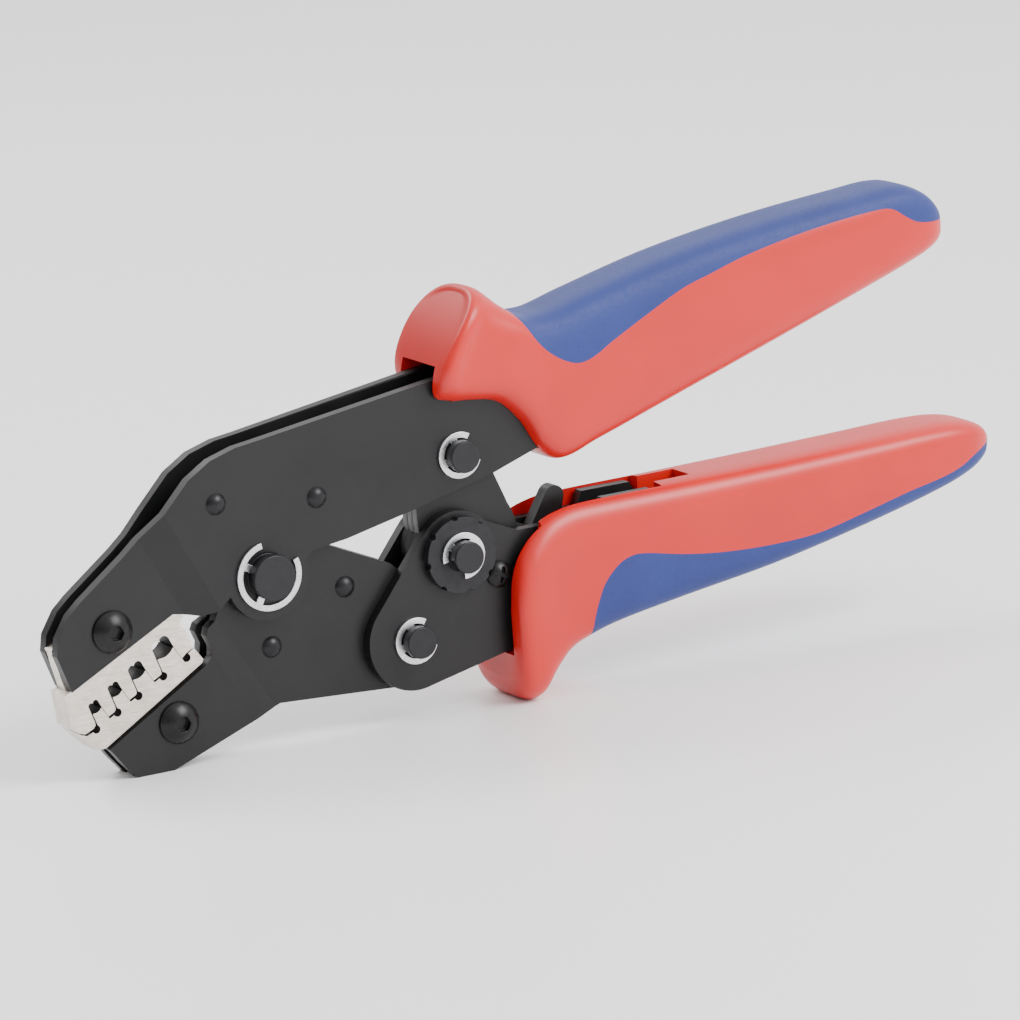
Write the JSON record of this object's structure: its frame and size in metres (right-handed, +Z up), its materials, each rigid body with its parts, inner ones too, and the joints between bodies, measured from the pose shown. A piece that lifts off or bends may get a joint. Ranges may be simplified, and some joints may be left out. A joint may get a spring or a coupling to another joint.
{
  "type": "ratchet crimping tool",
  "caption": "Hand crimping tool with joggled black steel plates, four-nest dies, a toggle linkage with adjusting wheel and release lever, and two-colour moulded grips",
  "frame": {"origin": "centre of the bounding box in X and Y, on the surface the tool stands on", "axes": "+X from the jaw to the handle ends, +Z up, -Y the side with the adjusting wheel"},
  "size_m": [0.1919, 0.0208, 0.0817],
  "materials": {
    "black_plates": "satin black oxide on stamped steel",
    "dark_pins": "black oxide, turned",
    "black_screws": "black oxide screw steel",
    "wheel_steel": "black oxide, notched rim",
    "clip_steel": "bright zinc",
    "die_steel": "satin nickel on ground tool steel",
    "spring_steel": "bright spring wire",
    "red_plastic": "semi-gloss moulded red",
    "blue_rubber": "matte soft-touch blue"
  },
  "bodies": {
    "root": {"frame_plate_front": "black_plates", "frame_plate_back": "black_plates", "upper_die": "die_steel", "upper_die_screw": "black_screws", "upper_die_nut": "black_screws", "frame_spacers": "dark_pins", "main_pin": "dark_pins", "main_pin_clips": "clip_steel", "link_pin": "dark_pins", "link_pin_clips": "clip_steel", "upper_grip": "red_plastic", "upper_grip_inlay": "blue_rubber", "tang_spacers": "dark_pins"},
    "lower_jaw": {"jaw_plate_front": "black_plates", "jaw_plate_back": "black_plates", "lower_die": "die_steel", "lower_die_screw": "black_screws", "lower_die_nut": "black_screws", "jaw_spacers": "dark_pins"},
    "toggle_link": {"toggle_link_front": "black_plates", "toggle_link_middle": "black_plates", "toggle_link_back": "black_plates", "spring_hook_pin": "dark_pins"},
    "lower_handle": {"handle_plate_front": "black_plates", "handle_plate_back": "black_plates", "jaw_pin": "dark_pins", "jaw_pin_clips": "clip_steel", "lower_grip": "red_plastic", "lower_grip_inlay": "blue_rubber", "handle_spacers": "dark_pins", "pawl_pin": "dark_pins", "spring_post_pin": "dark_pins", "locking_screw": "black_screws", "return_spring": "spring_steel", "pawl_spring": "spring_steel"},
    "adjuster": {"adjusting_pin": "dark_pins", "adjusting_pin_clips": "clip_steel", "adjusting_wheel": "wheel_steel"},
    "pawl": {"release_pawl": "black_plates"}
  },
  "joints": [
    {"name": "jaw_hinge", "type": "hinge", "parent": "root", "child": "lower_jaw", "pos_m": [-0.05505, 0, 0.0319], "axis": [0, 1, 0], "range_deg": [-10.2, 0.42]},
    {"name": "link_hinge", "type": "hinge", "parent": "root", "child": "toggle_link", "pos_m": [-0.01585, 0, 0.0471], "axis": [0, 1, 0], "range_deg": [-23.46, 0.97]},
    {"name": "handle_hinge", "type": "hinge", "parent": "lower_jaw", "child": "lower_handle", "pos_m": [-0.02715, 0, 0.0151], "axis": [0, -1, 0], "range_deg": [-34, 1.4], "deforming": ["return_spring"]},
    {"name": "wheel_hinge", "type": "hinge", "parent": "lower_handle", "child": "adjuster", "pos_m": [-0.01745, 0, 0.0293], "axis": [0, 1, 0], "continuous": true},
    {"name": "pawl_hinge", "type": "hinge", "parent": "lower_handle", "child": "pawl", "pos_m": [0.00235, 0, 0.0273], "axis": [0, 1, 0], "range_deg": [0, 12], "stiffness_Nm_per_rad": 0.05, "springref_deg": -5.73}
  ],
  "couplings": [
    {"joint": "jaw_hinge", "follows": "handle_hinge", "ratio": 0.3},
    {"joint": "link_hinge", "follows": "handle_hinge", "ratio": 0.69}
  ]
}
